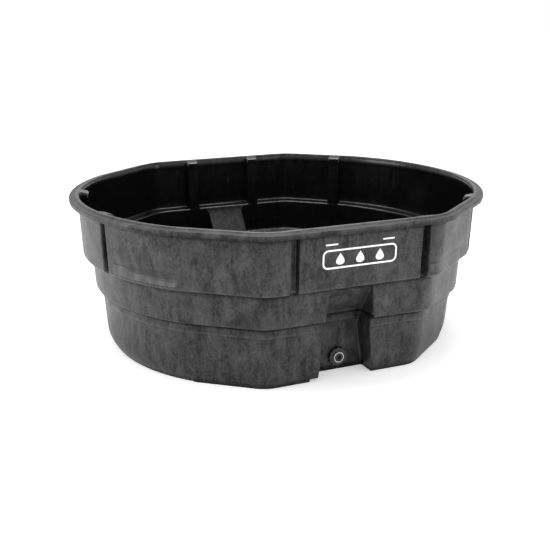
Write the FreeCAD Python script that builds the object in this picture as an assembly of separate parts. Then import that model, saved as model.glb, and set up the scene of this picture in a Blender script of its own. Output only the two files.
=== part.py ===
import FreeCAD, Part
import math
import os

# Livestock water trough: an open tank moulded in one piece, with a screw-in drain plug.
# Millimetres. +Z is up, X runs along the tank, -Y is the front with the drain.
# The origin is on the ground under the middle of the tank.

Vector = FreeCAD.Vector

# ---- driving dimensions of the tank ----
LENGTH = 1753.0             # over the rim, round end to round end
HEIGHT = 635.0              # ground to the top of the rim
WALL = 5.5                  # structural-foam wall
RIM_OVERHANG = 35.0         # rim stands this far out from the wall
RIM_DROP = 30.0             # from the top of the rim to the bottom of its skirt
RIM_FALL = 6.5              # the outer part of the rim's top lies this far below its inner edge
PAD_PROUD = 6.0             # thicker stretch of the rim at the middle of each flat
PAD_HALF = 118.0

# The plan, at the wall's outer face right under the rim: two flats, four facets, two round ends.
FLAT_Y = 735.0              # half the width over the two flats
END_RADIUS = 744.5
END_CENTRE = LENGTH / 2.0 - RIM_OVERHANG - END_RADIUS
FACET_ANGLE = math.radians(52.4)
FACET_DISTANCE = 797.6      # from the origin to a facet
CORNER_RADIUS = 120.0       # between a flat and a facet

# The outer wall's tiers: insets from the plan outline, and the heights where they change.
FOOT_HEIGHT = 14.0
FOOT_WIDTH = 22.0
FOOT_INSET = 108.0
TIER_3_FOOT = 91.0          # inset at the bottom of tier 3, above the rounded base
TIER_3_TOP = 81.0
TIER_3_SHOULDER = 76.0      # a shoulder stands proud at the top of tier 3
TIER_2_FOOT = 52.0
TIER_2_TOP = 44.0
TIER_1_FOOT = 8.0
BASE_ROUND_TOP = 56.0
SHOULDER_BOTTOM = 208.0
SHOULDER_EDGE = 215.0
STEP_2_BOTTOM = 247.0
STEP_2_TOP = 258.0
STEP_1_BOTTOM = 383.0
STEP_1_TOP = 398.0
BELOW_RIM = HEIGHT - RIM_DROP
BASE_END_SHIFT = 10.0       # the round ends draw in this much more at the ground

# Inner wall.
FLOOR_TOP = 20.0
LEDGE_2_BOTTOM = 254.0
LEDGE_2_TOP = 267.0
LEDGE_1_BOTTOM = 396.0
LEDGE_1_TOP = 403.0
RIM_INNER_INSET = 9.0

# Upright channels in the outer wall, which show inside as wider pilasters.
CHANNEL_WIDTH = 31.0
PILASTER_WIDTH = 59.0
PILASTER_TOP = HEIGHT - 1.0
PILASTER_SLOPE = 8.0        # its top falls this much from the wall to its face
PILASTER_LEAN = 9.5         # its face stands this much further out at the top than at its foot
CHANNELS_FRONT = (-246.0, 284.0)
CHANNELS_BACK = (-160.0, 156.0)
CHANNEL_FACET_X = 563.0     # one on the facet at the back of the right end
CHANNEL_RIGHT_NORMAL = math.radians(-41.6)  # one on the right end, towards the front
CHANNEL_LEFT_NORMAL = math.radians(17.1)    # two on the left end, this far each side of its middle

# Recesses at the middle of each flat; the front one holds the drain.
RECESS_BACK_Y = 553.0
RECESS_STEP_Y = 585.0
RECESS_HALF_BOTTOM = 103.0
RECESS_HALF_MIDDLE = 100.0
RECESS_HALF_TOP = 86.0
RECESS_FLARE = 128.0        # the front recess's right side spreads to this at the ground
RECESS_BACK_HALF = 82.0
RECESS_STEP_BOTTOM = 176.0
RECESS_STEP_TOP = 245.0
RECESS_TOP = 381.0
FOOT_GAP_LEFT = 143.0       # the foot ring stops short of the recess on the left, and meets it on the right

# ---- driving dimensions of the drain ----
DRAIN_X = 14.0
DRAIN_Z = 56.0
HOLE_RADIUS = 21.6
FITTING_RADIUS = 21.1       # 1 1/4 inch pipe thread, 42.2 mm over the crests
FITTING_OUT = 21.0          # length outside the recess panel
FLANGE_RADIUS = 29.0
FLANGE_THICK = 4.0
WATERWAY_RADIUS = 14.0
PLUG_BORE_RADIUS = 18.15
PLUG_RADIUS = 18.10
PLUG_LENGTH = 17.0
PLUG_INSET = 2.5            # the plug's face sits inside the fitting's mouth
GASKET_THICK = 3.0
NUT_RADIUS = 38.0
NUT_THICK = 13.0
NUT_RIBS = 12
PLUG_NOSE_RADIUS = 13.55    # the nose that carries the sealing ring
PLUG_NOSE = 2.5
SEAL_THICK = 3.0
SEAL_INNER = 13.6
SEAL_OUTER = 17.6
SOCKET_FLATS = 19.0
SOCKET_DEPTH = 9.0


def plan_wire(inset, z, end_shift=0.0):
    """Closed outline of the tank at height z, moved inwards by inset."""
    radius = END_RADIUS - inset
    centre = END_CENTRE - end_shift
    flat = FLAT_Y - inset
    facet = FACET_DISTANCE - inset
    cos_f, sin_f = math.cos(FACET_ANGLE), math.sin(FACET_ANGLE)
    tangent = CORNER_RADIUS * math.tan((math.pi / 2.0 - FACET_ANGLE) / 2.0)
    corner_x = (facet - flat * sin_f) / cos_f
    start = FACET_ANGLE - math.acos(min(1.0, (facet - centre * cos_f) / radius))
    mid = (math.pi / 2.0 + FACET_ANGLE) / 2.0
    on_flat = (corner_x - tangent, flat)
    on_corner = (on_flat[0] + CORNER_RADIUS * math.cos(mid),
                 flat - CORNER_RADIUS + CORNER_RADIUS * math.sin(mid))
    on_facet = (corner_x + tangent * sin_f, flat - tangent * cos_f)
    on_end = (centre + radius * math.cos(start), radius * math.sin(start))

    def at(point, sx, sy):
        return Vector(sx * point[0], sy * point[1], z)

    edges = []
    for side in (1, -1):
        edges.append(Part.LineSegment(at(on_flat, -side, side), at(on_flat, side, side)))
        near = [at(point, side, side) for point in (on_flat, on_corner, on_facet, on_end)]
        far = [at(point, side, -side) for point in (on_flat, on_corner, on_facet, on_end)]
        edges.append(Part.Arc(near[0], near[1], near[2]))
        edges.append(Part.LineSegment(near[2], near[3]))
        edges.append(Part.Arc(near[3], Vector(side * (centre + radius), 0, z), far[3]))
        edges.append(Part.LineSegment(far[3], far[2]))
        edges.append(Part.Arc(far[2], far[1], far[0]))
    return Part.Wire([edge.toShape() for edge in edges])


def tank_solid(levels):
    """Closed solid through the plan outlines of (inset, z, end shift) levels, straight between them."""
    wires = [plan_wire(*level) for level in levels]
    faces = [Part.Face(wires[0]), Part.Face(wires[-1])]
    for lower, upper in zip(wires, wires[1:]):
        faces.extend(Part.makeLoft([lower, upper], False, True).Faces)
    shell = Part.makeShell(faces)
    shell.sewShape()
    solid = Part.makeSolid(shell)
    if solid.Volume < 0:
        solid.reverse()
    return solid


def wall_levels():
    """Outer profile of the wall from the ground up to the underside of the rim's top."""
    return [
        (FOOT_INSET, 0.0, BASE_END_SHIFT),
        (FOOT_INSET - 8.0, FOOT_HEIGHT + 2.0, BASE_END_SHIFT * 0.7),
        (TIER_3_FOOT + 4.0, 30.0, BASE_END_SHIFT * 0.3),
        (TIER_3_FOOT, BASE_ROUND_TOP, 0.0),
        (TIER_3_TOP, SHOULDER_BOTTOM, 0.0),
        (TIER_3_SHOULDER, SHOULDER_EDGE, 0.0),
        (TIER_3_TOP, STEP_2_BOTTOM, 0.0),
        (TIER_2_FOOT, STEP_2_TOP, 0.0),
        (TIER_2_TOP, STEP_1_BOTTOM, 0.0),
        (TIER_1_FOOT, STEP_1_TOP, 0.0),
        (0.0, BELOW_RIM, 0.0),
        (0.0, HEIGHT - WALL / 2.0, 0.0),
    ]


def rim_levels():
    """Outer profile of the rim, from its rolled edge up to the raised lip along its inner edge."""
    roll_top = HEIGHT - RIM_FALL
    return [
        (4.0 - RIM_OVERHANG, BELOW_RIM, 0.0),
        (-RIM_OVERHANG, BELOW_RIM + 5.0, 0.0),
        (-RIM_OVERHANG, roll_top - 7.0, 0.0),
        (2.0 - RIM_OVERHANG, roll_top - 2.0, 0.0),
        (6.0 - RIM_OVERHANG, roll_top, 0.0),
        (-12.0, roll_top + 0.5, 0.0),
        (-6.0, HEIGHT, 0.0),
    ]


def skirt_hollow_levels():
    """The hollow under the rim, out to the inner face of its skirt."""
    return [
        (WALL - RIM_OVERHANG, BELOW_RIM - 5.0, 0.0),
        (WALL - RIM_OVERHANG, HEIGHT - RIM_FALL - WALL, 0.0),
    ]


def inner_levels():
    """Inner profile from the floor up, running out through the top."""
    return [
        (FOOT_INSET + 14.0, FLOOR_TOP, BASE_END_SHIFT),
        (FOOT_INSET - 1.0, FLOOR_TOP + 10.0, BASE_END_SHIFT * 0.6),
        (TIER_3_FOOT + WALL, BASE_ROUND_TOP + 4.0, 0.0),
        (TIER_3_TOP + WALL, LEDGE_2_BOTTOM, 0.0),
        (TIER_2_FOOT + WALL, LEDGE_2_TOP, 0.0),
        (TIER_2_TOP + WALL, LEDGE_1_BOTTOM, 0.0),
        (TIER_1_FOOT + WALL, LEDGE_1_TOP, 0.0),
        (RIM_INNER_INSET, BELOW_RIM, 0.0),
        (RIM_INNER_INSET, HEIGHT + 5.0, 0.0),
    ]


def channel_places():
    """Middle of each channel on the plan outline, with the direction of its outward normal."""
    places = [(x, -FLAT_Y, -math.pi / 2.0) for x in CHANNELS_FRONT]
    places += [(x, FLAT_Y, math.pi / 2.0) for x in CHANNELS_BACK]
    facet_y = (FACET_DISTANCE - CHANNEL_FACET_X * math.cos(FACET_ANGLE)) / math.sin(FACET_ANGLE)
    places.append((CHANNEL_FACET_X, facet_y, FACET_ANGLE))
    ends = [(END_CENTRE, CHANNEL_RIGHT_NORMAL)]
    ends += [(-END_CENTRE, math.pi + side * CHANNEL_LEFT_NORMAL) for side in (1, -1)]
    for centre, normal in ends:
        places.append((centre + END_RADIUS * math.cos(normal), END_RADIUS * math.sin(normal), normal))
    return places


def upright_block(place, width, inner, outer, top, z_bottom):
    """Block across the wall at a place; its top falls and its inner face leans back towards the wall."""
    x, y, normal = place
    section = [Vector(-inner, 0, z_bottom), Vector(outer, 0, z_bottom),
               Vector(outer, 0, top), Vector(PILASTER_LEAN - inner, 0, top - PILASTER_SLOPE)]
    face = Part.Face(Part.makePolygon(section + section[:1]))
    block = face.extrude(Vector(0, width, 0))
    block.translate(Vector(0, -width / 2.0, 0))
    block.rotate(Vector(0, 0, 0), Vector(0, 0, 1), math.degrees(normal))
    block.translate(Vector(x, y, 0))
    return block


def recess_sides(side, bottom):
    """Corners (distance from the middle, height) of a recess's left and right sides."""
    top = RECESS_TOP + 15.0
    if side > 0:
        upright = [(RECESS_BACK_HALF, bottom), (RECESS_BACK_HALF, top)]
        return upright, upright
    upper = [(RECESS_HALF_MIDDLE, RECESS_STEP_TOP), (RECESS_HALF_TOP, top)]
    left = [(RECESS_HALF_BOTTOM, bottom)] + upper
    right = [(RECESS_FLARE, bottom), (RECESS_HALF_BOTTOM, RECESS_STEP_BOTTOM)] + upper
    return left, right


def recess(side, grow):
    """Drain recess on one flat, grown by grow: its side view and its front view, intersected."""
    beyond = FLAT_Y + 60.0
    bottom = -5.0
    profile = [(beyond, bottom), (RECESS_BACK_Y - grow, bottom),
               (RECESS_BACK_Y - grow, RECESS_STEP_BOTTOM + grow / 2.0),
               (RECESS_STEP_Y - grow, RECESS_STEP_TOP + grow / 2.0),
               (FLAT_Y - TIER_2_TOP, RECESS_TOP + grow), (beyond, RECESS_TOP + grow)]
    points = [Vector(0, side * y, z) for y, z in profile]
    half_space = 160.0
    side_view = Part.Face(Part.makePolygon(points + points[:1])).extrude(Vector(2 * half_space, 0, 0))
    side_view.translate(Vector(-half_space, 0, 0))
    left, right = recess_sides(side, bottom)
    outline = [Vector(x + grow, 0, z) for x, z in right] + [Vector(-x - grow, 0, z) for x, z in left[::-1]]
    front_view = Part.Face(Part.makePolygon(outline + outline[:1])).extrude(Vector(0, side * beyond, 0))
    return side_view.common(front_view)


def rim_pad(side):
    """Thicker stretch of the rim's skirt at the middle of a flat."""
    face = FLAT_Y + RIM_OVERHANG + PAD_PROUD
    inner = face - PAD_PROUD - WALL
    roll_top = HEIGHT - RIM_FALL
    section = [(inner, BELOW_RIM + 1.0), (face - 3.0, BELOW_RIM), (face, BELOW_RIM + 4.0),
               (face, roll_top - 6.0), (face - 5.0, roll_top), (inner, roll_top)]
    points = [Vector(-PAD_HALF, side * y, z) for y, z in section]
    return Part.Face(Part.makePolygon(points + points[:1])).extrude(Vector(2 * PAD_HALF, 0, 0))


def ring(inner, outer, y_near, y_far):
    """Ring round the drain's axis between two distances from the middle of the tank."""
    base = Vector(DRAIN_X, -y_far, DRAIN_Z)
    length = y_far - y_near
    disc = Part.makeCylinder(outer, length, base, Vector(0, 1, 0))
    return disc.cut(Part.makeCylinder(inner, length, base, Vector(0, 1, 0)))


def tank_shell():
    """The moulded tank: outer form less its hollow, with channels, recesses, foot and rim pads."""
    rim = tank_solid(rim_levels())
    for side in (1, -1):
        rim = rim.fuse(rim_pad(side))
    outer = tank_solid(wall_levels()).fuse(rim.cut(tank_solid(skirt_hollow_levels())))
    cavity = tank_solid(inner_levels())
    channel_top = HEIGHT - RIM_FALL - WALL
    for place in channel_places():
        channel = upright_block(place, CHANNEL_WIDTH, TIER_2_TOP, RIM_OVERHANG - WALL,
                                channel_top, STEP_1_BOTTOM)
        outer = outer.cut(channel)
        pilaster = upright_block(place, PILASTER_WIDTH, TIER_2_TOP + WALL, 0.0,
                                 PILASTER_TOP, LEDGE_1_BOTTOM - 20.0)
        cavity = cavity.cut(pilaster)
    for side in (1, -1):
        outer = outer.cut(recess(side, 0.0))
        cavity = cavity.cut(recess(side, WALL))
    shell = outer.cut(cavity)
    inside_foot = FOOT_INSET + FOOT_WIDTH
    pocket = tank_solid([(inside_foot, -1.0, BASE_END_SHIFT), (inside_foot, FOOT_HEIGHT, BASE_END_SHIFT)])
    for side in (1, -1):
        pocket = pocket.cut(recess(side, WALL))
    shell = shell.cut(pocket)
    gap_depth = FLAT_Y - RECESS_BACK_Y - WALL
    gaps = [(-FOOT_GAP_LEFT, RECESS_HALF_BOTTOM, -FLAT_Y),
            (-RECESS_BACK_HALF, FOOT_GAP_LEFT, RECESS_BACK_Y + WALL)]
    for left, right, front in gaps:
        corner = Vector(left, front, -1.0)
        shell = shell.cut(Part.makeBox(right - left, gap_depth, FOOT_HEIGHT + 1.0, corner))
    outside = Vector(DRAIN_X, -RECESS_BACK_Y - FITTING_OUT, DRAIN_Z)
    hole = Part.makeCylinder(HOLE_RADIUS, WALL + 2.0 * FITTING_OUT, outside, Vector(0, 1, 0))
    return shell.cut(hole)


def drain_fitting():
    """Flanged metal bushing through the recess panel, bored for the plug."""
    panel_inside = RECESS_BACK_Y - WALL
    mouth = RECESS_BACK_Y + FITTING_OUT
    flange_out = panel_inside - GASKET_THICK
    flange = ring(WATERWAY_RADIUS, FLANGE_RADIUS, flange_out - FLANGE_THICK, flange_out)
    barrel = ring(WATERWAY_RADIUS, FITTING_RADIUS, flange_out, mouth)
    bore_end = mouth - PLUG_INSET - PLUG_LENGTH - SEAL_THICK
    start = Vector(DRAIN_X, -mouth, DRAIN_Z)
    bore = Part.makeCylinder(PLUG_BORE_RADIUS, mouth - bore_end, start, Vector(0, 1, 0))
    return flange.fuse(barrel).cut(bore)


def flange_gasket():
    """Rubber ring between the fitting's flange and the inside of the panel."""
    panel_inside = RECESS_BACK_Y - WALL
    return ring(FITTING_RADIUS + 0.3, FLANGE_RADIUS - 0.5, panel_inside - GASKET_THICK, panel_inside)


def locknut():
    """Plastic nut with grip ribs that draws the fitting tight from outside."""
    nut = ring(FITTING_RADIUS + 0.05, NUT_RADIUS - 3.0, RECESS_BACK_Y, RECESS_BACK_Y + NUT_THICK)
    for index in range(NUT_RIBS):
        angle = 2.0 * math.pi * index / NUT_RIBS
        rib = Part.makeBox(9.0, NUT_THICK, 7.0, Vector(NUT_RADIUS - 9.0, 0, -3.5))
        rib.rotate(Vector(0, 0, 0), Vector(0, 1, 0), math.degrees(angle))
        rib.translate(Vector(DRAIN_X, -RECESS_BACK_Y - NUT_THICK, DRAIN_Z))
        nut = nut.fuse(rib)
    return nut.removeSplitter()


def drain_plug():
    """Screw plug with a hexagon socket in its outer face and a nose for the sealing ring."""
    face = RECESS_BACK_Y + FITTING_OUT - PLUG_INSET
    start = Vector(DRAIN_X, -face, DRAIN_Z)
    inward = Vector(0, 1, 0)
    nose = Part.makeCylinder(PLUG_NOSE_RADIUS, PLUG_LENGTH + PLUG_NOSE, start, inward)
    barrel = Part.makeCylinder(PLUG_RADIUS, PLUG_LENGTH, start, inward).fuse(nose)
    corner = SOCKET_FLATS / math.sqrt(3.0)
    points = []
    for index in range(6):
        angle = math.radians(60.0 * index)
        points.append(Vector(DRAIN_X + corner * math.cos(angle), -face, DRAIN_Z + corner * math.sin(angle)))
    socket = Part.Face(Part.makePolygon(points + points[:1])).extrude(Vector(0, SOCKET_DEPTH, 0))
    return barrel.cut(socket)


def plug_seal():
    """Rubber sealing ring that the plug presses against the shoulder in the fitting."""
    plug_end = RECESS_BACK_Y + FITTING_OUT - PLUG_INSET - PLUG_LENGTH
    return ring(SEAL_INNER, SEAL_OUTER, plug_end - SEAL_THICK, plug_end)


def main():
    os.makedirs("parts", exist_ok=True)
    parts = {
        "tank_shell": tank_shell(),
        "drain_fitting": drain_fitting(),
        "flange_gasket": flange_gasket(),
        "locknut": locknut(),
        "drain_plug": drain_plug(),
        "plug_seal": plug_seal(),
    }
    for name, shape in parts.items():
        shape.exportStep("parts/" + name + ".step")
        print(name, "valid", shape.isValid(), "solids", len(shape.Solids),
              "litres", round(shape.Volume / 1e6, 4))


main()
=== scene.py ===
import math

import bmesh
import bpy
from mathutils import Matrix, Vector


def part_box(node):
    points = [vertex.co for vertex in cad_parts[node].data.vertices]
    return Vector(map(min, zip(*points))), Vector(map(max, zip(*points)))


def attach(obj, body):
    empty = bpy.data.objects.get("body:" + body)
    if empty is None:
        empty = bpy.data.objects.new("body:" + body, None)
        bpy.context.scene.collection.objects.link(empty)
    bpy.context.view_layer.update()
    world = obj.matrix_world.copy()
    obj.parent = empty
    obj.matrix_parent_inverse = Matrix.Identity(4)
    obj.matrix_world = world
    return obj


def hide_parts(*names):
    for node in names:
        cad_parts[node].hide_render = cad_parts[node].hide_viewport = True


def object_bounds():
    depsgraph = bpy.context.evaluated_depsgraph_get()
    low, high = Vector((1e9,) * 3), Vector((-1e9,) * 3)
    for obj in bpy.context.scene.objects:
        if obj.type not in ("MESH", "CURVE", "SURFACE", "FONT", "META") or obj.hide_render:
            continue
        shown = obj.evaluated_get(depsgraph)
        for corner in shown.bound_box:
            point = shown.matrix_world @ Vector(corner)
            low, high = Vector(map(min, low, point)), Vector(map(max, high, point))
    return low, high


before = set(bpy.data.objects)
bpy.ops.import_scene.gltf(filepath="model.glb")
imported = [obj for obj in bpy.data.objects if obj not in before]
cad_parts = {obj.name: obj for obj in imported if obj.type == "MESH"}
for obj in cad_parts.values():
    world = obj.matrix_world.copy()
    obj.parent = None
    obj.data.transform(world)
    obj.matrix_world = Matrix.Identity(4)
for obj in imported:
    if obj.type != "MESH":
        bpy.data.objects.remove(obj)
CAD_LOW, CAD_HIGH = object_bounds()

# Livestock water trough. The tank is one moulding: its skin is built here as one closed mesh,
# from columns round the plan and rows up the profile. Millimetres inside, metres in the meshes.
MM = 0.001

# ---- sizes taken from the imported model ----
LENGTH = (CAD_HIGH.x - CAD_LOW.x) / MM
HEIGHT = CAD_HIGH.z / MM
PLUG_LOW, PLUG_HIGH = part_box("drain_plug")
_, NUT_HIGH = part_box("locknut")
DRAIN_X = (PLUG_LOW.x + PLUG_HIGH.x) / 2.0 / MM
DRAIN_Z = (PLUG_LOW.z + PLUG_HIGH.z) / 2.0 / MM
RECESS_BACK_Y = -NUT_HIGH.y / MM

# ---- the plan, at the wall's outer face under the rim ----
WALL = 5.5
TIER_2_TOP = 44.0           # inset of the wall just under step 1, and of the channels' backs
RIM_OVERHANG = 35.0
RIM_FALL = 6.5              # the outer part of the rim's top lies this far below its inner edge
RIM_INNER = 6.0             # inset of the rim's inner edge
RIM_INNER_DROP = 7.0        # the rim's inner edge ends this far below the top
FLAT_Y = 735.0
END_RADIUS = 744.5
END_CENTRE = LENGTH / 2.0 - RIM_OVERHANG - END_RADIUS
FACET_ANGLE = math.radians(52.4)
FACET_DISTANCE = 797.6
CORNER_RADIUS = 120.0
RIM_CORNER_EXTRA = 110.0
FLAT_FREE = 110.0           # within this of the middle, a column keeps its x at every inset
FLAT_REACH = 306.0          # outermost column of a flat
FLAT_END = 312.0            # where a flat meets its corner, under the rim
CORNER_LENGTH = CORNER_RADIUS * (math.pi / 2.0 - FACET_ANGLE)
FACET_NEAR, FACET_FAR = -88.0, 165.0
FACET_FREE, FACET_FREE_FAR = -20.0, 60.0    # a facet's columns keep their places between these
FACET_END_GAP = 4.0         # the last column of a facet stops this far short of the end's arc
END_REACH = math.radians(44.6)
END_MIDDLE_RADIUS = END_RADIUS - TIER_2_TOP / 2.0
FOOT_SHIFT = 10.0           # at the foot, the ends' centres stand this far further in
COLUMN_STEP, CORNER_STEP = 14.0, 9.5        # spacing of the columns
COLUMN_CLEARANCE = 0.35     # share of a step that even columns keep from the close ones
FAR_AWAY = 1e6              # distance to a feature that a column's stretch of wall doesn't have

# ---- the channels in the outer wall, which stand inside as pilasters ----
CHANNEL_HALF = 15.5
PILASTER_HALF = 29.5
CHANNELS_FRONT = (-246.0, 284.0)
CHANNELS_BACK = (-160.0, 156.0)
CHANNEL_FACET = 96.4        # along the facet at the back of the right end
CHANNEL_RIGHT = math.radians(41.6)      # on the right end, towards the front
CHANNEL_LEFT = math.radians(17.1)       # on the left end, each side of its middle
CHANNEL_ROOF = HEIGHT - RIM_FALL - WALL     # at the wall; it falls by PILASTER_SLOPE to the channel's back
PILASTER_BOTTOM = 390.0     # the pilasters run up from here, on the inside
PILASTER_TOP = HEIGHT - 1.0
PILASTER_SLOPE = 8.0
PILASTER_LEAN = 9.5         # a channel is this much shallower at its top

# ---- the recesses at the middle of each flat ----
RECESS_HALF = 103.0
RECESS_HALF_MIDDLE = 100.0
RECESS_HALF_TOP = 86.0
RECESS_FLARE = 128.0        # the front recess's right side spreads to this at the ground
RECESS_BACK_HALF = 82.0
RECESS_STEP_BOTTOM = 176.0
RECESS_STEP_TOP = 245.0
RECESS_TOP = 381.0
RECESS_DEEP = FLAT_Y - RECESS_BACK_Y
RECESS_MID = 150.0
TAPER_REACH = 170.0         # columns beyond this don't lean with the recess's sides
LEAN_FADE = 15.0            # the lean dies out over this height above the recess
STEP_SOFTENING = 1.5        # the recess's steps are averaged over this height each way
FOOT_GAP_LEFT = 143.0       # the gap in the foot reaches this far from the middle, on one side
FOOT_GAP_EDGES = (-3.0, -0.4, 0.4, 3.0)     # columns round the end of the gap
FOOT_HEIGHT = 14.0
FOOT_INNER = 130.0          # inset of the foot's inner side

# ---- the wall's profile ----
TIER_1_FOOT = 8.0
STEP_1_BOTTOM = 383.0
STEP_1_TOP = 397.0
CHANNEL_BOTTOM = STEP_1_BOTTOM - 1.0        # the channels run up from here
SAG_NEAR = 11.0             # step 2 is this much lower right of the recess
SAG_2_BEND = 7e-5           # and falls further towards the right end, by this times the distance squared
SAG_1_BEND = 2.4e-5         # the same for step 1
SAG_BOTTOM, SAG_TOP = 60.0, 560.0
SAG_2_RISE, SAG_2_FALL = 140.0, 115.0       # heights over which step 2's sag grows and fades
SAG_1_START = 258.0         # step 1's sag begins at this height
SAG_1_RISE, SAG_1_FALL = 125.0, 160.0       # the same for step 1
LENS_BOTTOM = 408.0
LENS_CREASE = 446.0         # the wall is hollowed from LENS_TOP down to this crease, and flares below it
LENS_TOP = 486.0
LENS_DEPTH = 17.0
LENS_LEFT = math.radians(19.0)      # the left lens begins this far round the end
LENS_RIGHT_RUN = 330.0      # the right lens dies out this far along the wall
LENS_RIGHT_SHARE = 0.45     # depth of the right lens, as a share of the left one's
LENS_CURVE = 0.7            # power by which a lens deepens along the wall
LENS_SHADED = 0.15          # a lens shallower than this share takes no painted shade or highlight of its own
BELOW_RIM = HEIGHT - 27.0
UNDER_RIM = CHANNEL_ROOF
DARK_LEVEL = BELOW_RIM - 4.0     # height of the darkest painted shade under the rim
EDGE_DRAFT = 1.5
EDGE_RADIUS = 5.0
EDGE_OFFSETS = (6.5, 5.0, 2.4, 0.8, 0.0, -1.5, -2.3, -3.9, -6.5, -8.0)
PAD_HALF = 118.0
PAD_PROUD = 6.0
PAD_EDGE = 2.0              # half the width of the step at each end of a pad
ROOF_STEPS, PILASTER_STEPS = 4, 5
SHARP_ANGLE = math.radians(35.0)    # edges sharper than this aren't shaded smooth
MARK_X, MARK_Z = 8.0, 511.0     # the print on the front
MARK_HALF_WIDTH, MARK_HALF_HEIGHT = 150.0, 36.0
MARK_LINE = 6.5
MARK_CORNER = 22.0
DROP_SIZE = 44.0
DROP_SPACING = 80.0
DASHES_X, DASH_Z = (-107.0, 122.0), 566.0
DASH_HALF_WIDTH, DASH_HALF_HEIGHT, DASH_CORNER = 24.0, 3.0, 2.5
PRINT_THICK, PRINT_BACK = 0.5, 0.1
FLOOR_EDGE = 192.0          # inset where the floor's rings start to shrink to the middle
UNDERSIDE, FLOOR_TOP = 14.0, 20.0
FLOOR_SHARES = (0.85, 0.68, 0.5, 0.3, 0.12)     # the floor's rings, as shares of its edge
HOLE_RADIUS, HOLE_DEPTH, HOLE_SEGMENTS = 21.6, 40.0, 48     # the hole for the drain fitting


# ---------------------------------------------------------------- columns

class Column:
    """One upright line of the tank's mesh: where it stands on the plan, at any inset."""

    def __init__(self, kind, across, along, at):
        self.kind = kind
        self.across = across        # sign of x
        self.along = along          # sign of y
        self.at = at                # x on a flat, share of a corner, length on a facet, angle on an end
        nearest = min(self.channel_distances(), default=FAR_AWAY)
        self.channel = nearest - CHANNEL_HALF
        self.pilaster = nearest - PILASTER_HALF
        self.recess = abs(at) - RECESS_HALF if kind == "flat" else FAR_AWAY
        self.lens = self.lens_share()

    def lens_share(self):
        """How deep the lens-shaped hollow is here: one on the left end, and one round the right corner."""
        if self.along > 0:
            return 0.0
        if self.across < 0:
            share = (self.at - LENS_LEFT) / (END_REACH - LENS_LEFT)
            return max(0.0, share) ** LENS_CURVE if self.kind == "end" else 0.0
        run = self.at * CORNER_LENGTH
        if self.kind == "facet":
            run = CORNER_LENGTH + self.at - FACET_NEAR
        elif self.kind == "end":
            run = CORNER_LENGTH + FACET_FAR - FACET_NEAR + (END_REACH - self.at) * END_MIDDLE_RADIUS
        right = max(0.0, 1.0 - run / LENS_RIGHT_RUN) ** LENS_CURVE
        return 0.0 if self.kind == "flat" else LENS_RIGHT_SHARE * right

    def channel_distances(self):
        """Distances to the middles of the channels in this stretch of wall."""
        if self.kind == "flat":
            places = CHANNELS_FRONT if self.along < 0 else CHANNELS_BACK
            return [abs(self.at - x) for x in places]
        if self.kind == "corner" and self.across > 0 > self.along:
            return [FLAT_END + self.at * CORNER_LENGTH - CHANNELS_FRONT[1]]
        if self.kind == "facet" and self.across > 0 and self.along > 0:
            return [abs(self.at - CHANNEL_FACET)]
        if self.kind == "end" and self.across < 0:
            return [abs(self.at - CHANNEL_LEFT) * END_MIDDLE_RADIUS]
        if self.kind == "end" and self.along < 0:
            return [abs(self.at - CHANNEL_RIGHT) * END_MIDDLE_RADIUS]
        return []

    def place(self, inset, shift, z):
        """Where the column is at an inset from the plan and an end shift."""
        flat = FLAT_Y - inset
        facet = FACET_DISTANCE - inset
        radius = END_RADIUS - inset
        centre = END_CENTRE - shift
        cos_f, sin_f = math.cos(FACET_ANGLE), math.sin(FACET_ANGLE)
        bend = corner_radius(inset, z)
        tangent = bend * math.tan((math.pi / 2.0 - FACET_ANGLE) / 2.0)
        flat_end = (facet - flat * sin_f) / cos_f - tangent
        if self.kind == "flat":
            x = squeezed(self.at, FLAT_FREE, FLAT_REACH, flat_end)
            return leaning(x, z, self.along) if inset > 1.0 else x, self.along * flat
        if self.kind == "corner":
            angle = math.pi / 2.0 - self.at * (math.pi / 2.0 - FACET_ANGLE)
            x = flat_end + bend * math.cos(angle)
            y = flat - bend + bend * math.sin(angle)
        elif self.kind == "facet":
            corner_x = flat_end + tangent + tangent * sin_f
            corner_y = flat - tangent * cos_f
            near = corner_x * sin_f - corner_y * cos_f
            end_x = centre + radius * math.cos(END_REACH)
            far = end_x * sin_f - radius * math.sin(END_REACH) * cos_f - FACET_END_GAP
            if self.at < FACET_FREE:
                s = -squeezed(-self.at, -FACET_FREE, -FACET_NEAR, -near)
            else:
                s = squeezed(self.at, FACET_FREE_FAR, FACET_FAR, far)
            x = facet * cos_f + s * sin_f
            y = facet * sin_f - s * cos_f
        else:
            x = centre + radius * math.cos(self.at)
            y = radius * math.sin(self.at)
        return self.across * x, self.along * y


def corner_radius(inset, z):
    """Radius between a flat and a facet, which is wider round the rim."""
    if z < BELOW_RIM:
        return CORNER_RADIUS
    return CORNER_RADIUS + RIM_CORNER_EXTRA * min(1.0, max(0.0, (6.0 - inset) / 12.0))


def squeezed(value, free, reach, limit):
    """A length that keeps within a limit: the part beyond free shrinks when limit is under reach."""
    size = abs(value)
    if size <= free or limit >= reach:
        return value
    return math.copysign(free + (size - free) * (limit - free) / (reach - free), value)


def recess_half(along, x, z):
    """Half the width of a recess at a height, on the side of the tank and of the recess that x is on."""
    if along > 0:
        return RECESS_BACK_HALF
    if z > RECESS_STEP_TOP:
        share = min(1.0, (z - RECESS_STEP_TOP) / (RECESS_TOP + LEAN_FADE - RECESS_STEP_TOP))
        return RECESS_HALF_MIDDLE + (RECESS_HALF_TOP - RECESS_HALF_MIDDLE) * share
    if x > 0.0 and z < RECESS_STEP_BOTTOM:
        return RECESS_HALF + (RECESS_FLARE - RECESS_HALF) * (1.0 - z / RECESS_STEP_BOTTOM)
    return RECESS_HALF + (RECESS_HALF_MIDDLE - RECESS_HALF) * z / RECESS_STEP_TOP


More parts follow.
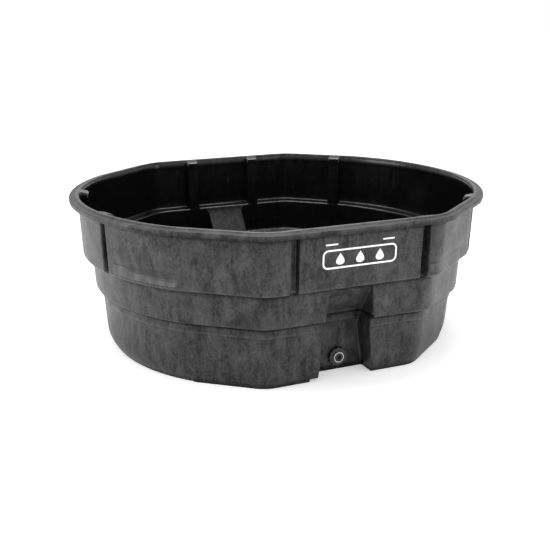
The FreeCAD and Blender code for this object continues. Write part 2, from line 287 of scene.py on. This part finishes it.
def leaning(x, z, along):
    """Moves an x near the middle of a flat with the recess's leaning sides, up to just above its top."""
    half = recess_half(along, x, z)
    size = abs(x)
    share = min(1.0, (RECESS_TOP + LEAN_FADE - z) / LEAN_FADE)
    if size >= TAPER_REACH or share <= 0.0:
        return x
    if size > RECESS_HALF:
        moved = half + (size - RECESS_HALF) * (TAPER_REACH - half) / (TAPER_REACH - RECESS_HALF)
    else:
        moved = size * half / RECESS_HALF
    return math.copysign(size + (moved - size) * share, x)


def spread(low, high, step, edges=()):
    """Evenly spaced values from low to high, with rows of close ones round each edge."""
    special = [e + s * offset for e, s in edges for offset in EDGE_OFFSETS]
    count = max(1, round((high - low) / step))
    even = [low + (high - low) * i / count for i in range(count + 1)]
    clear = [v for v in even if all(abs(v - s) > COLUMN_CLEARANCE * step for s in special)]
    return sorted(clear + [v for v in special if low <= v <= high])


def edge_pairs(middle, *halves):
    """Edges at each half-width either side of a middle, each with its outward direction."""
    return [(middle + s * half, s) for s in (-1, 1) for half in halves]


def flat_columns(along):
    """Columns of one flat, from left to right."""
    channels = CHANNELS_FRONT if along < 0 else CHANNELS_BACK
    edges = edge_pairs(0.0, RECESS_HALF, RECESS_HALF + WALL)
    for x in channels:
        edges += edge_pairs(x, CHANNEL_HALF, PILASTER_HALF)
    edges += [(s * (PAD_HALF + PAD_EDGE), s * 0.5) for s in (-1, 1)]
    xs = spread(-FLAT_REACH, FLAT_REACH, COLUMN_STEP, edges)
    gap = FOOT_GAP_LEFT * along
    xs = [x for x in xs if abs(x - gap) > FOOT_GAP_EDGES[-1]]
    xs = sorted(xs + [gap + offset for offset in FOOT_GAP_EDGES])
    return [Column("flat", 1, along, x) for x in xs]


def corner_columns(across, along):
    """Columns of one corner, from the flat to the facet."""
    edges = []
    if across > 0 > along:
        edges = [(CHANNELS_FRONT[1] + PILASTER_HALF - FLAT_END, 1)]
    lengths = spread(0.0, CORNER_LENGTH, CORNER_STEP, edges)
    return [Column("corner", across, along, length / CORNER_LENGTH) for length in lengths]


def facet_columns(across, along):
    """Columns of one facet, from the corner to the end."""
    edges = []
    if across > 0 and along > 0:
        edges = edge_pairs(CHANNEL_FACET, CHANNEL_HALF, PILASTER_HALF)
    lengths = spread(FACET_NEAR, FACET_FAR, COLUMN_STEP, edges)
    return [Column("facet", across, along, length) for length in lengths]


def end_columns(across, along):
    """Half of a round end, from its middle out to the facet."""
    edges = []
    if across < 0 or along < 0:
        middle = (CHANNEL_LEFT if across < 0 else CHANNEL_RIGHT) * END_MIDDLE_RADIUS
        edges = edge_pairs(middle, CHANNEL_HALF, PILASTER_HALF)
    lengths = spread(0.0, END_REACH * END_MIDDLE_RADIUS, COLUMN_STEP, edges)
    return [Column("end", across, along, length / END_MIDDLE_RADIUS) for length in lengths]


def quarter(across, along):
    """Columns of one quarter of the plan, from the middle of an end to the flat."""
    facet = facet_columns(across, along)[::-1]
    corner = corner_columns(across, along)[::-1]
    return end_columns(across, along) + facet + corner


def all_columns():
    """Every column once, anticlockwise from the middle of the right-hand end."""
    right_back = quarter(1, 1)
    left_back = quarter(-1, 1)[::-1]
    left_front = quarter(-1, -1)[1:]
    right_front = quarter(1, -1)[:0:-1]
    return right_back + flat_columns(1)[::-1] + left_back + left_front + flat_columns(-1) + right_front


# ---------------------------------------------------------------- rows

def rounded(corners, longest):
    """Profile points through (inset, z, shift, radius) corners, each eased over its radius.

    No two points in a row are further apart than longest.
    """
    points = [corners[0][:3]]
    for before, corner, after in zip(corners, corners[1:], corners[2:]):
        middle = Vector(corner[:3])
        ways = [Vector(other[:3]) - middle for other in (before, after)]
        starts = [middle + way * min(0.46, corner[3] / max(way.length, 0.01)) for way in ways]
        for step in range(4):
            t = step / 3.0
            eased = starts[0] * (1 - t) ** 2 + middle * 2 * t * (1 - t) + starts[1] * t ** 2
            points.append(tuple(eased))
    points.append(corners[-1][:3])
    filled = [points[0]]
    for start, end in zip(points, points[1:]):
        gap = Vector(end) - Vector(start)
        count = math.ceil(gap.length / longest)
        for i in range(1, count + 1):
            filled.append(tuple(Vector(start) + gap * i / count))
    return filled


def tier_1_inset(z):
    """Inset of the outer wall at a height between step 1 and the rim."""
    return TIER_1_FOOT * (BELOW_RIM - z) / (BELOW_RIM - STEP_1_TOP)


def lens_rows():
    """Rows across the part of tier 1 that the lenses hollow."""
    heights = [LENS_BOTTOM, LENS_CREASE - 2.0, LENS_CREASE + 2.0]
    heights += [LENS_CREASE + (LENS_TOP - LENS_CREASE) * share for share in (0.3, 0.5, 0.75, 1.0)]
    return [(tier_1_inset(z), z, 0.0, 1.0) for z in heights]


def outer_rows():
    """The outside, from the foot up to just under the rim."""
    return rounded([
        (108.0, 0.0, 10.0, 0.0),
        (100.0, 16.0, 7.0, 3.0),
        (95.0, 32.0, 3.0, 10.0),
        (91.0, 56.0, 0.0, 14.0),
        (81.0, 207.0, 0.0, 3.0),
        (76.5, 214.0, 0.0, 4.0),
        (81.0, 246.0, 0.0, 4.0),
        (52.0, 257.0, 0.0, 5.0),
        (44.0, 382.0, 0.0, 5.0),
        (TIER_1_FOOT, STEP_1_TOP, 0.0, 4.0)] + lens_rows() + [
        (0.0, BELOW_RIM, 0.0, 0.0)], 24.0)


def rim_rows():
    """The rim: out from the wall, down inside its skirt, round its edge and up to the lip inside."""
    skirt = -RIM_OVERHANG
    roll_top = HEIGHT - RIM_FALL
    return rounded([
        (0.0, UNDER_RIM, 0.0, 0.0),
        (skirt + WALL, UNDER_RIM, 0.0, 5.0),
        (skirt + WALL, BELOW_RIM + 2.0, 0.0, 2.0),
        (skirt + 3.0, BELOW_RIM, 0.0, 2.0),
        (skirt, BELOW_RIM + 4.0, 0.0, 4.0),
        (skirt, roll_top - 2.5, 0.0, 4.5),
        (skirt + 4.5, roll_top, 0.0, 4.5),
        (-13.0, roll_top - 1.0, 0.0, 6.0),
        (-6.0, HEIGHT - 0.4, 0.0, 3.0),
        (0.0, HEIGHT, 0.0, 3.0),
        (4.0, HEIGHT - 1.0, 0.0, 3.0),
        (RIM_INNER, HEIGHT - RIM_INNER_DROP, 0.0, 0.0)], 40.0)[1:]


def inner_rows():
    """The inside, from under the pilasters' tops down to the edge of the floor."""
    return rounded([
        (RIM_INNER + 3.0, HEIGHT - 2.0 * RIM_INNER_DROP, 0.0, 0.0),
        (13.5, 403.0, 0.0, 5.0),
        (49.5, 396.0, 0.0, 5.0),
        (57.5, 267.0, 0.0, 5.0),
        (86.5, 254.0, 0.0, 5.0),
        (96.5, 60.0, 0.0, 20.0),
        (107.0, 30.0, 6.0, 12.0),
        (122.0, FLOOR_TOP, 10.0, 8.0),
        (150.0, FLOOR_TOP, 10.0, 0.0),
        (FLOOR_EDGE, FLOOR_TOP, 10.0, 0.0)], 24.0)


# ---------------------------------------------------------------- features

def shoulder(offset, depth):
    """Depth of a sunk panel at an offset outside its edge, with both corners rounded."""
    r = min(EDGE_RADIUS, max(depth, 0.0) / 2.0)
    if offset >= r or depth <= 0.0:
        return 0.0
    if offset >= 0.0:
        return r - math.sqrt(r * r - (r - offset) ** 2)
    if offset >= -EDGE_DRAFT:
        return r - (depth - 2.0 * r) * offset / EDGE_DRAFT
    inside = offset + EDGE_DRAFT + r
    return depth if inside <= 0.0 else depth - r + math.sqrt(max(0.0, r * r - inside ** 2))


def recess_inset(z):
    """How far the recess's back is from the flat's plane at a height."""
    if z >= RECESS_TOP:
        return 0.0
    if z >= RECESS_STEP_TOP:
        share = (z - RECESS_STEP_TOP) / (RECESS_TOP - RECESS_STEP_TOP)
        return RECESS_MID + (TIER_2_TOP - RECESS_MID) * share
    share = max(0.0, (z - RECESS_STEP_BOTTOM) / (RECESS_STEP_TOP - RECESS_STEP_BOTTOM))
    return RECESS_DEEP + (RECESS_MID - RECESS_DEEP) * share


def channel_back(z):
    """Inset of the back of the channels at a height."""
    return TIER_2_TOP - PILASTER_LEAN * max(0.0, (z - STEP_1_BOTTOM) / (CHANNEL_ROOF - STEP_1_BOTTOM))


def sunk(column, inset, z, grow):
    """The inset once the recess is let into the wall, grown by the wall's thickness on the inside."""
    if column.kind != "flat":
        return inset
    around = (-STEP_SOFTENING, 0.0, STEP_SOFTENING)
    softened = [recess_inset(z - grow / 2.0 + dz) for dz in around]
    depth = sum(softened) / 3.0 if softened[2] > 0.0 else softened[1]
    return inset + shoulder(column.recess - grow, depth + grow - inset) if depth > 0.0 else inset


def over_gap(column, z):
    """Raises a height to the foot's top where the gap beside the recess interrupts the foot."""
    in_gap = column.recess >= 0.0 and 0.0 < column.along * column.at < FOOT_GAP_LEFT
    return max(z, FOOT_HEIGHT) if column.kind == "flat" and in_gap else z


def outer_point(column, row):
    """A point of the outside, with the recess, the channels and the lenses let in."""
    inset, z, shift = row
    base = sunk(column, inset, z, 0.0)
    if z >= CHANNEL_BOTTOM:
        base += shoulder(column.channel, channel_back(z) - base)
    base += lip(column, z)
    return base, over_gap(column, z), shift


def lip(column, z):
    """Extra inset where the wall curves in above the lip at the bottom of tier 1."""
    if column.lens <= 0.0 or not LENS_BOTTOM < z < LENS_TOP:
        return 0.0
    if z > LENS_CREASE:
        share = (LENS_TOP - z) / (LENS_TOP - LENS_CREASE)
        return LENS_DEPTH * column.lens * share * share
    return LENS_DEPTH * column.lens * (z - LENS_BOTTOM) / (LENS_CREASE - LENS_BOTTOM)


def roof_point(column, step):
    """Rows between the wall and the rim's underside, which close the channels' tops."""
    share = step / ROOF_STEPS
    depth = (TIER_2_TOP - PILASTER_LEAN) * (1.0 - share)
    sink = shoulder(column.channel, depth)
    level = BELOW_RIM + (UNDER_RIM - BELOW_RIM) * share
    roof = CHANNEL_ROOF - PILASTER_SLOPE * (1.0 - share)
    part = sink / depth if depth > 0.0 else 0.0
    return sink, level + (roof - level) * part, 0.0


def rim_point(column, row):
    """A point of the rim, which stands out at a pad and runs level onto each pilaster."""
    inset, z, shift = row
    if column.kind == "flat" and inset < -RIM_OVERHANG + WALL:
        pad = min(1.0, max(0.0, (PAD_HALF + PAD_EDGE - abs(column.at)) / (2.0 * PAD_EDGE)))
        inset -= PAD_PROUD * pad * pad * (3.0 - 2.0 * pad)
    if inset > 2.0:
        z += (PILASTER_TOP - z) * min(1.0, max(0.0, -column.pilaster / EDGE_RADIUS))
    return inset, z, shift


def pilaster_point(column, step):
    """Rows just inside the rim, which form the sloping tops of the pilasters."""
    share = step / PILASTER_STEPS
    base = RIM_INNER + 3.0 * share
    depth = (TIER_2_TOP + WALL - PILASTER_LEAN - base) * share
    sink = shoulder(column.pilaster, depth)
    level = HEIGHT - RIM_INNER_DROP - RIM_INNER_DROP * share
    top = PILASTER_TOP - PILASTER_SLOPE * share
    return base + sink, level + (top - level) * sink / depth, 0.0


def inner_point(column, row):
    """A point of the inside, with the recess and the pilasters standing in."""
    inset, z, shift = row
    base = sunk(column, inset, z, WALL)
    if z > PILASTER_BOTTOM:
        base += shoulder(column.pilaster, channel_back(z) + WALL - base)
    return base, z, shift


def foot_point(column, row):
    """Rows on the inner side of the foot and under the floor."""
    inset, z, shift = row
    base = inset + shoulder(column.recess - WALL, RECESS_DEEP + WALL - inset)
    return base, over_gap(column, z), shift


def sag(x, z):
    """How far the tiers' edges lie below their heights: they run lower towards the right end."""
    if x < RECESS_HALF or not SAG_BOTTOM < z < SAG_TOP:
        return 0.0
    bend = (x - RECESS_HALF) ** 2
    lower = max(0.0, min(1.0, (z - SAG_BOTTOM) / SAG_2_RISE, (STEP_1_BOTTOM - z) / SAG_2_FALL))
    upper = max(0.0, min(1.0, (z - SAG_1_START) / SAG_1_RISE, (SAG_TOP - z) / SAG_1_FALL))
    return lower * (SAG_NEAR + SAG_2_BEND * bend) + upper * SAG_1_BEND * bend


def painted_light_level(column, z):
    """The height whose painted tone a point takes: a lens takes painted shade in its crease and a painted
    highlight on the band below.
    """
    if column.lens <= LENS_SHADED or not LENS_BOTTOM < z < LENS_CREASE + 5.0:
        return z
    # painted shade in the crease, painted highlight on the band below it
    return DARK_LEVEL if z > LENS_CREASE else STEP_1_TOP


def column_line(column):
    """Points of one column, from under the floor round to the floor's top, each with its painted tone's
    height.
    """
    under = [(FLOOR_EDGE, UNDERSIDE, FOOT_SHIFT), (FOOT_INNER + 4.0, UNDERSIDE, FOOT_SHIFT),
             (FOOT_INNER + 1.0, UNDERSIDE - 1.0, FOOT_SHIFT),
             (FOOT_INNER, UNDERSIDE - 3.0, FOOT_SHIFT), (FOOT_INNER, 0.0, FOOT_SHIFT)]
    line = [foot_point(column, row) for row in under]
    line += [outer_point(column, row) for row in outer_rows()]
    line += [roof_point(column, step) for step in range(1, ROOF_STEPS + 1)]
    line += [rim_point(column, row) for row in rim_rows()]
    line += [pilaster_point(column, step) for step in range(1, PILASTER_STEPS)]
    line += [inner_point(column, row) for row in inner_rows()]
    points = []
    for inset, z, shift in line:
        x, y = column.place(inset, shift, z)
        points.append((Vector((x, y, z - sag(x, z))) * MM, painted_light_level(column, z) / HEIGHT))
    return points


# ---------------------------------------------------------------- the tank's mesh

def shade_smooth(mesh):
    """Shades a mesh smooth but for its sharp edges."""
    mesh.polygons.foreach_set("use_smooth", [True] * len(mesh.polygons))
    mesh.set_sharp_from_angle(angle=SHARP_ANGLE)


def mesh_object(name, bm, material):
    """Makes a smooth-shaded object of a bmesh."""
    mesh = bpy.data.meshes.new(name)
    bm.normal_update()
    bm.to_mesh(mesh)
    bm.free()
    shade_smooth(mesh)
    obj = bpy.data.objects.new(name, mesh)
    bpy.context.scene.collection.objects.link(obj)
    obj.data.materials.append(material)
    return obj


def disc_rows(edge):
    """Rings that shrink a row of points to the middle."""
    return [[(Vector((p.x * k, p.y * k, p.z)), level) for p, level in edge] for k in FLOOR_SHARES]


def tank_bmesh():
    """The tank's skin, closed underneath and on the floor, with each point's side and painted-tone height.
    """
    lines = [column_line(column) for column in all_columns()]
    rows = [list(row) for row in zip(*lines)]
    inner_count = len(inner_rows()) + len(FLOOR_SHARES) + PILASTER_STEPS - 1
    rows = disc_rows(rows[0])[::-1] + rows + disc_rows(rows[-1])
    bm = bmesh.new()
    inside = bm.verts.layers.float.new("inside")
    # the "level" layer holds the height whose painted shade or painted highlight each point takes
    painted_light_levels = bm.verts.layers.float.new("level")
    grid = []
    for index, row in enumerate(rows):
        grid.append([bm.verts.new(point) for point, level in row])
        for vert, (point, level) in zip(grid[-1], row):
            vert[painted_light_levels] = level
            vert[inside] = 1.0 if index >= len(rows) - inner_count else 0.0
    count = len(grid[0])
    for low, high in zip(grid, grid[1:]):
        for i in range(count):
            j = (i + 1) % count
            bm.faces.new((low[i], low[j], high[j], high[i]))
    bm.faces.new(grid[0][::-1])
    bm.faces.new(grid[-1])
    bmesh.ops.remove_doubles(bm, verts=bm.verts, dist=0.00005)
    bmesh.ops.dissolve_degenerate(bm, edges=bm.edges, dist=0.00002)
    bmesh.ops.recalc_face_normals(bm, faces=bm.faces)
    return bm


def drain_hole(tank):
    """Cuts the drain's hole through the recess panel."""
    bm = bmesh.new()
    bmesh.ops.create_cone(bm, cap_ends=True, segments=HOLE_SEGMENTS, radius1=HOLE_RADIUS * MM,
                          radius2=HOLE_RADIUS * MM, depth=HOLE_DEPTH * MM)
    mesh = bpy.data.meshes.new("hole")
    bm.to_mesh(mesh)
    bm.free()
    cutter = bpy.data.objects.new("hole", mesh)
    cutter.rotation_euler.x = math.pi / 2.0
    cutter.location = Vector((DRAIN_X, -RECESS_BACK_Y, DRAIN_Z)) * MM
    bpy.context.scene.collection.objects.link(cutter)
    cut = tank.modifiers.new("drain_hole", "BOOLEAN")
    cut.object = cutter
    cut.solver = "EXACT"
    bpy.context.view_layer.update()
    graph = bpy.context.evaluated_depsgraph_get()
    made = bpy.data.meshes.new_from_object(tank.evaluated_get(graph))
    tank.modifiers.clear()
    old = tank.data
    tank.data = made
    bpy.data.meshes.remove(old)
    bpy.data.objects.remove(cutter)
    shade_smooth(made)


# ---------------------------------------------------------------- the printed mark

def rounded_frame(half_width, half_height, radius, steps=6):
    """Outline of a rounded rectangle round the origin."""
    points = []
    for quarter_turn, (sx, sz) in enumerate(((1, 1), (-1, 1), (-1, -1), (1, -1))):
        for step in range(steps + 1):
            angle = (quarter_turn + step / steps) * math.pi / 2.0
            points.append((sx * (half_width - radius) + radius * math.cos(angle),
                           sz * (half_height - radius) + radius * math.sin(angle)))
    return points


def drop_outline(size, steps=24):
    """Outline of a water drop round the origin, with its point up."""
    points = []
    for step in range(steps):
        angle = 2.0 * math.pi * step / steps
        pinch = math.sin(angle / 2.0) ** 1.6
        points.append((0.55 * size * math.sin(angle) * pinch, size * 0.5 * math.cos(angle)))
    return points


def shifted(points, x, z):
    """An outline moved along the wall and up."""
    return [(px + x, pz + z) for px, pz in points]


def mark_vert(bm, x, z, proud):
    """A point of the print, standing proud of the front wall of tier 1."""
    return bm.verts.new(Vector((x, -FLAT_Y + tier_1_inset(z) - proud, z)) * MM)


def add_print(bm, outline, hole=None):
    """A thin raised print inside an outline, less a hole with as many points."""
    near = [mark_vert(bm, x, z, PRINT_THICK) for x, z in outline]
    far = [mark_vert(bm, x, z, PRINT_BACK) for x, z in outline]
    count = len(outline)
    for i in range(count):
        bm.faces.new((near[i], near[i - 1], far[i - 1], far[i]))
    if hole is None:
        bm.faces.new(near)
        bm.faces.new(far[::-1])
        return
    near_hole = [mark_vert(bm, x, z, PRINT_THICK) for x, z in hole]
    far_hole = [mark_vert(bm, x, z, PRINT_BACK) for x, z in hole]
    for i in range(count):
        bm.faces.new((near_hole[i - 1], near_hole[i], far_hole[i], far_hole[i - 1]))
        bm.faces.new((near[i - 1], near[i], near_hole[i], near_hole[i - 1]))
        bm.faces.new((far[i], far[i - 1], far_hole[i - 1], far_hole[i]))


def printed_mark(material):
    """A plain white print on the front: three drops in a rounded frame, and two dashes above it."""
    bm = bmesh.new()
    outer = rounded_frame(MARK_HALF_WIDTH, MARK_HALF_HEIGHT, MARK_CORNER)
    inner = rounded_frame(MARK_HALF_WIDTH - MARK_LINE, MARK_HALF_HEIGHT - MARK_LINE,
                          MARK_CORNER - MARK_LINE)
    add_print(bm, shifted(outer, MARK_X, MARK_Z), shifted(inner, MARK_X, MARK_Z))
    for offset in (-DROP_SPACING, 0.0, DROP_SPACING):
        add_print(bm, shifted(drop_outline(DROP_SIZE), MARK_X + offset, MARK_Z))
    dash = rounded_frame(DASH_HALF_WIDTH, DASH_HALF_HEIGHT, DASH_CORNER)
    for x in DASHES_X:
        add_print(bm, shifted(dash, x, DASH_Z))
    bmesh.ops.recalc_face_normals(bm, faces=bm.faces)
    return mesh_object("printed_mark", bm, material)


# ---------------------------------------------------------------- materials

# Height and painted tone of the tank's skin: under 0.5 a painted shade in the grooves and creases and under
# the steps and rim, above it a painted highlight on the edges.
PAINTED_LIGHT_TONES = (
    (0.0, 0.1), (14.0, 0.2), (24.0, 0.45), (60.0, 0.5), (204.0, 0.5), (209.0, 0.4), (214.0, 0.7),
    (220.0, 0.5), (236.0, 0.45), (243.0, 0.15), (251.0, 0.1), (256.0, 0.7), (264.0, 0.5), (366.0, 0.48),
    (380.0, 0.25), (389.0, 0.1), (395.0, 0.85), (404.0, 0.5), (585.0, 0.5), (604.0, 0.15), (611.0, 0.3),
    (620.0, 0.5), (626.5, 0.7), (628.6, 0.35), (631.0, 0.5), (634.0, 1.0),
)


def new_material(name, **values):
    """A principled material with the given socket values."""
    material = bpy.data.materials.new(name)
    material.use_nodes = True
    shader = material.node_tree.nodes["Principled BSDF"]
    for socket, value in values.items():
        shader.inputs[socket.replace("_", " ")].default_value = value
    return material, material.node_tree, shader


def coordinates(tree, scale):
    """Object coordinates stretched by a scale along each axis."""
    source = tree.nodes.new("ShaderNodeTexCoord")
    mapping = tree.nodes.new("ShaderNodeMapping")
    mapping.inputs["Scale"].default_value = scale
    tree.links.new(source.outputs["Object"], mapping.inputs["Vector"])
    return mapping.outputs["Vector"]


def noise(tree, scale, size, detail=4.0, roughness=0.55, distortion=0.0):
    """Noise of a size, stretched by a scale along each axis."""
    texture = tree.nodes.new("ShaderNodeTexNoise")
    texture.inputs["Scale"].default_value = size
    texture.inputs["Detail"].default_value = detail
    texture.inputs["Roughness"].default_value = roughness
    texture.inputs["Distortion"].default_value = distortion
    tree.links.new(coordinates(tree, scale), texture.inputs["Vector"])
    return texture.outputs["Fac"]


def ranged(tree, value, low, high, to_low, to_high):
    """Maps a value from one range to another, clamped."""
    node = tree.nodes.new("ShaderNodeMapRange")
    numbers = (low, high, to_low, to_high)
    for socket, number in zip(("From Min", "From Max", "To Min", "To Max"), numbers):
        node.inputs[socket].default_value = number
    tree.links.new(value, node.inputs["Value"])
    return node.outputs["Result"]


def combined(tree, operation, first, second):
    """A maths node on two values, either of which may be a number."""
    node = tree.nodes.new("ShaderNodeMath")
    node.operation = operation
    for socket, value in zip(node.inputs, (first, second)):
        if isinstance(value, (int, float)):
            socket.default_value = value
        else:
            tree.links.new(value, socket)
    return node.outputs["Value"]


def weighted(tree, *terms):
    """The sum of some values, each times its weight."""
    total, *others = [combined(tree, "MULTIPLY", value, weight) for value, weight in terms]
    for other in others:
        total = combined(tree, "ADD", total, other)
    return total


def mixed_colour(tree, share, first, second):
    """A blend of two colours, either of which may be a plain one."""
    node = tree.nodes.new("ShaderNodeMix")
    node.data_type = "RGBA"
    tree.links.new(share, node.inputs["Factor"])
    for name, value in (("A", first), ("B", second)):
        socket = [s for s in node.inputs if s.name == name and s.type == "RGBA"][0]
        if isinstance(value, tuple):
            socket.default_value = (*value, 1.0)
        else:
            tree.links.new(value, socket)
    return [s for s in node.outputs if s.type == "RGBA"][0]


def bumped(tree, shader, height, strength, distance):
    """Roughens a shader's surface by a height."""
    node = tree.nodes.new("ShaderNodeBump")
    node.inputs["Strength"].default_value = strength
    node.inputs["Distance"].default_value = distance
    tree.links.new(height, node.inputs["Height"])
    tree.links.new(node.outputs["Normal"], shader.inputs["Normal"])


def painted_light_by_height(tree):
    """Painted light by height: under 0.5 a painted shade in the grooves and creases, above it a painted
    highlight on the edges.
    """
    ramp = tree.nodes.new("ShaderNodeValToRGB")
    elements = ramp.color_ramp.elements
    while len(elements) > 1:
        elements.remove(elements[-1])
    elements[0].position = 0.0
    elements[0].color = (PAINTED_LIGHT_TONES[0][1], PAINTED_LIGHT_TONES[0][1], PAINTED_LIGHT_TONES[0][1], 1.0)
    for z, painted_tone in PAINTED_LIGHT_TONES[1:]:
        elements.new(z / HEIGHT).color = (painted_tone, painted_tone, painted_tone, 1.0)
    # the "level" attribute gives the height whose painted shade or painted highlight each point takes
    level = tree.nodes.new("ShaderNodeAttribute")
    level.attribute_name = "level"
    tree.links.new(level.outputs["Fac"], ramp.inputs["Fac"])
    return ramp.outputs["Color"]


def tank_plastic():
    """Structural-foam polyethylene: swirled and scuffed outside, smooth and black inside; painted shade and
    painted highlights by height darken and lighten its colour outside and its reflection all over.
    """
    material, tree, shader = new_material("tank_plastic_skin", IOR=1.5)
    swirl = noise(tree, (1.0, 1.0, 0.6), 9.0, 6.0, 0.65, 1.6)
    streak = noise(tree, (1.0, 1.0, 0.12), 46.0, 5.0, 0.65, 0.6)
    blotch = noise(tree, (1.0, 1.0, 0.8), 34.0, 7.0, 0.75, 0.9)
    grain = noise(tree, (1.0, 1.0, 1.0), 420.0, 2.0, 0.5)
    grit = noise(tree, (1.0, 1.0, 0.7), 120.0, 5.0, 0.7, 0.4)
    marks = weighted(tree, (swirl, 0.3), (streak, 0.2), (blotch, 0.25), (grit, 0.25))
    # height ramp of painted shade in the creases and painted highlights on the edges
    painted_tone = painted_light_by_height(tree)
    inside = tree.nodes.new("ShaderNodeAttribute")
    inside.attribute_name = "inside"
    outer = combined(tree, "SUBTRACT", 1.0, inside.outputs["Fac"])
    scuffs = ranged(tree, marks, 0.44, 0.6, 0.0, 1.0)
    # lightness of the outside: real scuffs from the noise plus the painted shade and painted highlights
    chalk_and_painted_light = combined(tree, "ADD", scuffs, combined(tree, "SUBTRACT", painted_tone, 0.5))
    chalk_and_painted_light = combined(tree, "MULTIPLY", combined(tree, "MAXIMUM", chalk_and_painted_light, 0.0), outer)
    colour = mixed_colour(tree, chalk_and_painted_light, (0.0018, 0.0018, 0.0019), (0.030, 0.030, 0.0305))
    tree.links.new(colour, shader.inputs["Base Color"])
    gloss = ranged(tree, marks, 0.42, 0.6, 0.5, 1.2)
    # the painted tone also scales the reflection: weaker in the painted-shade creases, stronger on the
    # painted-highlight edges
    tree.links.new(combined(tree, "MULTIPLY", gloss, painted_tone), shader.inputs["Specular IOR Level"])
    rough = ranged(tree, combined(tree, "ADD", streak, blotch), 0.7, 1.3, 0.32, 0.55)
    rough = combined(tree, "MULTIPLY", rough, ranged(tree, outer, 0.0, 1.0, 0.5, 1.0))
    tree.links.new(rough, shader.inputs["Roughness"])
    height = weighted(tree, (blotch, 0.7), (grain, 0.25), (streak, 0.45))
    height = combined(tree, "MULTIPLY", height, ranged(tree, outer, 0.0, 1.0, 0.15, 1.0))
    bumped(tree, shader, height, 0.6, 0.0022)
    return material


def speckled(name, dark, light, rough, size, bump, **values):
    """A moulded or machined finish: two shades of one colour, with slight unevenness."""
    material, tree, shader = new_material(name, **values)
    mottle = noise(tree, (1.0, 1.0, 1.0), size, 4.0, 0.6, 0.4)
    tree.links.new(mixed_colour(tree, ranged(tree, mottle, 0.3, 0.7, 0.0, 1.0), dark, light),
                   shader.inputs["Base Color"])
    tree.links.new(ranged(tree, mottle, 0.3, 0.7, *rough), shader.inputs["Roughness"])
    bumped(tree, shader, noise(tree, (1.0, 1.0, 1.0), size * 4.0, 3.0), 0.4, bump)
    return material


def dress(node, material):
    """Gives a CAD node's object a material."""
    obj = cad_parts[node]
    obj.data.materials.clear()
    obj.data.materials.append(material)


# ---------------------------------------------------------------- the scene

CAMERA_PLACE = (-1.433, -3.346, 1.377)
CAMERA_HEADING = (0.3904, 0.9206)
CAMERA_PITCH = math.radians(17.51)
CAMERA_LENS, CAMERA_SENSOR = 56.46, 36.0
LIGHTS_AIM = (0.0, 0.0, 0.3)
# Each light's name, place, width and height, and power.
LIGHTS = (
    ("left", (-4.2, 0.2, 2.0), (2.4, 2.0), 72.0),
    ("right", (3.6, -4.4, 1.7), (1.8, 2.0), 40.0),
    ("overhead", (0.4, 0.6, 4.2), (3.0, 2.4), 140.0),
)


def add_camera():
    """The camera, which looks down at the front from the left."""
    camera = bpy.data.objects.new("camera", bpy.data.cameras.new("camera"))
    camera.data.sensor_width = CAMERA_SENSOR
    camera.data.lens = CAMERA_LENS
    camera.data.clip_end = 60.0
    level = math.cos(CAMERA_PITCH)
    ahead = Vector((CAMERA_HEADING[0] * level, CAMERA_HEADING[1] * level, -math.sin(CAMERA_PITCH)))
    camera.location = CAMERA_PLACE
    camera.rotation_mode = "QUATERNION"
    camera.rotation_quaternion = ahead.to_track_quat("-Z", "Y")
    bpy.context.scene.collection.objects.link(camera)
    bpy.context.scene.camera = camera


def add_floor():
    """A wide white ground."""
    bm = bmesh.new()
    bmesh.ops.create_grid(bm, x_segments=1, y_segments=1, size=30.0)
    material, _, shader = new_material("floor_white", Roughness=0.9)
    shader.inputs["Base Color"].default_value = (0.93, 0.93, 0.93, 1.0)
    shader.inputs["Emission Color"].default_value = (1.0, 1.0, 1.0, 1.0)
    shader.inputs["Emission Strength"].default_value = 0.35
    shader.inputs["Specular IOR Level"].default_value = 0.1
    floor = mesh_object("floor", bm, material)


def add_light(name, place, size, power):
    """A soft box aimed at the tank."""
    light = bpy.data.lights.new(name, "AREA")
    light.shape = "RECTANGLE"
    light.size, light.size_y = size
    light.energy = power
    obj = bpy.data.objects.new(name, light)
    obj.location = place
    obj.rotation_mode = "QUATERNION"
    obj.rotation_quaternion = (Vector(LIGHTS_AIM) - Vector(place)).to_track_quat("-Z", "Y")
    bpy.context.scene.collection.objects.link(obj)


def add_lights():
    """White surroundings and three soft boxes."""
    world = bpy.data.worlds.new("studio")
    world.use_nodes = True
    background = world.node_tree.nodes["Background"]
    background.inputs["Color"].default_value = (1.0, 1.0, 1.0, 1.0)
    background.inputs["Strength"].default_value = 1.0
    bpy.context.scene.world = world
    for light in LIGHTS:
        add_light(*light)
    bpy.context.scene.view_settings.view_transform = "Standard"


def main():
    """Builds the scene, the tank's skin and the print, and gives the drain pieces their materials."""
    add_camera()
    add_floor()
    add_lights()
    plastic = tank_plastic()
    tank = mesh_object("tank_skin", tank_bmesh(), plastic)
    drain_hole(tank)
    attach(tank, "root")
    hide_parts("tank_shell")
    white = speckled("print_white", (0.78, 0.78, 0.77), (0.9, 0.9, 0.89), (0.45, 0.6), 90.0, 0.0001)
    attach(printed_mark(white), "root")
    metal = speckled("fitting_metal", (0.55, 0.55, 0.54), (0.68, 0.67, 0.66), (0.22, 0.36), 180.0, 0.0001,
                     Metallic=1.0)
    black = speckled("fitting_black", (0.008, 0.008, 0.009), (0.016, 0.016, 0.017), (0.38, 0.52), 120.0,
                     0.0002)
    rubber = speckled("seal_rubber", (0.012, 0.012, 0.012), (0.02, 0.02, 0.02), (0.6, 0.75), 200.0, 0.0002)
    dress("drain_fitting", metal)
    dress("locknut", black)
    dress("drain_plug", black)
    dress("flange_gasket", rubber)
    dress("plug_seal", rubber)


main()
